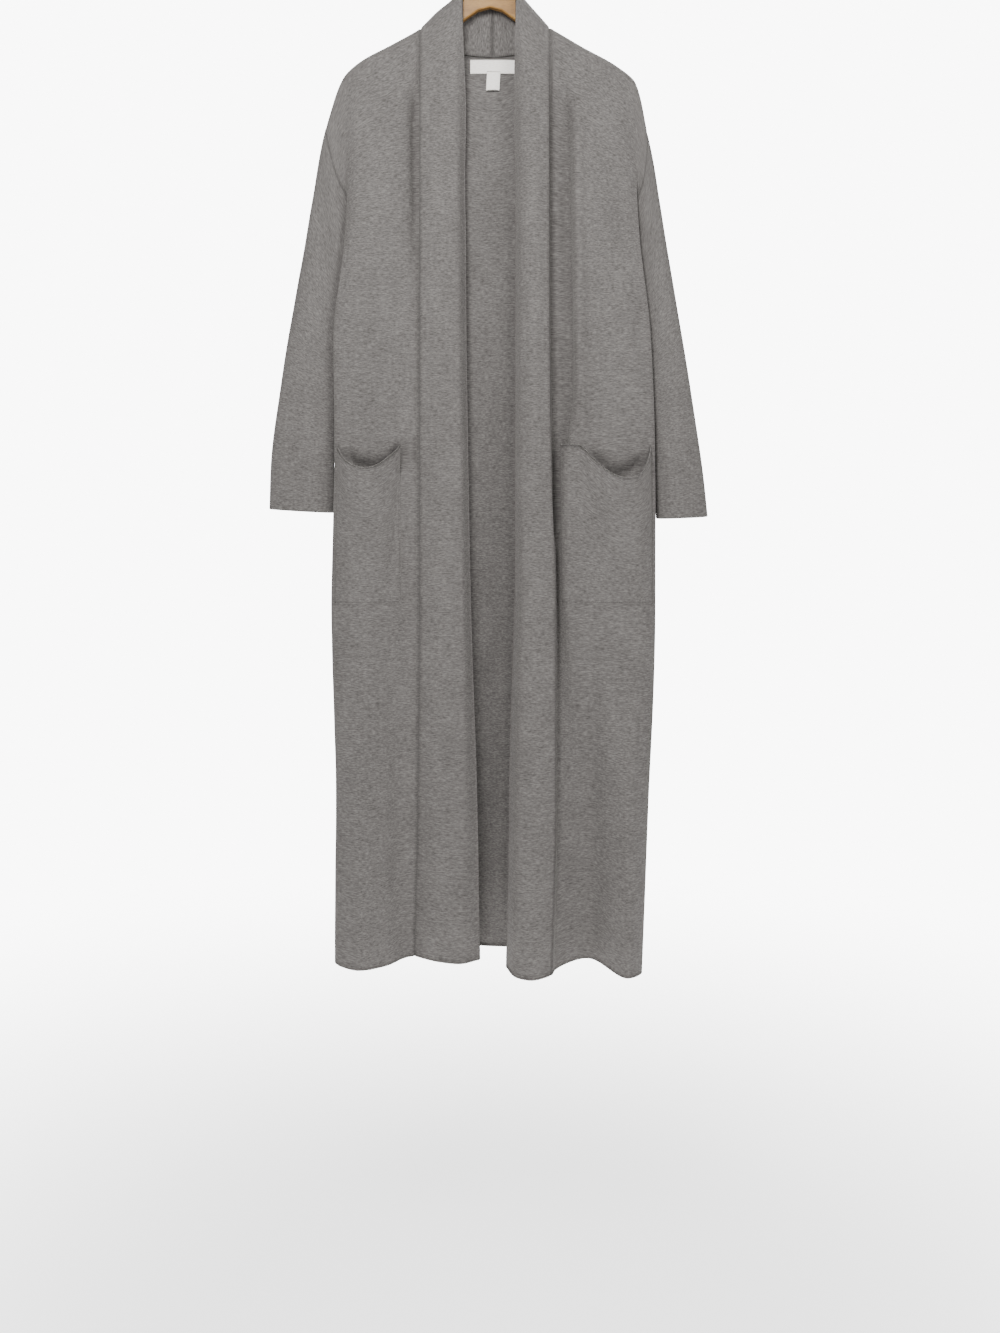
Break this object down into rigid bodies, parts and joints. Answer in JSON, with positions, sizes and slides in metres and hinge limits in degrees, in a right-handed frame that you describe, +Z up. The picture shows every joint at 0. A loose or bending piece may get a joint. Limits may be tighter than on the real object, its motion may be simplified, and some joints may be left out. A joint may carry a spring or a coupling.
{
  "type": "long open-front duster robe on a hanger",
  "caption": "Long open-front knitted duster robe with a shawl band, long sleeves and patch pockets, hanging from a plain wooden hanger with a wire hook.",
  "frame": {"origin": "inside top of the hanger's hook, where a rail carries it", "axes": "+Z up along the robe's length, the robe's front faces -Y, +X to the right as seen from the front"},
  "size_m": [0.592, 0.114, 1.4078],
  "materials": {
    "knit": "grey marl fine knit, soft and matt",
    "label": "off-white woven ribbon",
    "hanger_wood": "pale varnished wood",
    "hook_wire": "bright plated steel wire"
  },
  "bodies": {
    "root": {"back": "knit", "front_left": "knit", "front_right": "knit", "sleeve_left": "knit", "sleeve_right": "knit", "band_left": "knit", "band_right": "knit", "pocket_left": "knit", "pocket_right": "knit", "neck_label": "label", "size_tab": "label", "hanger": "hanger_wood", "hook": "hook_wire"}
  },
  "joints": []
}
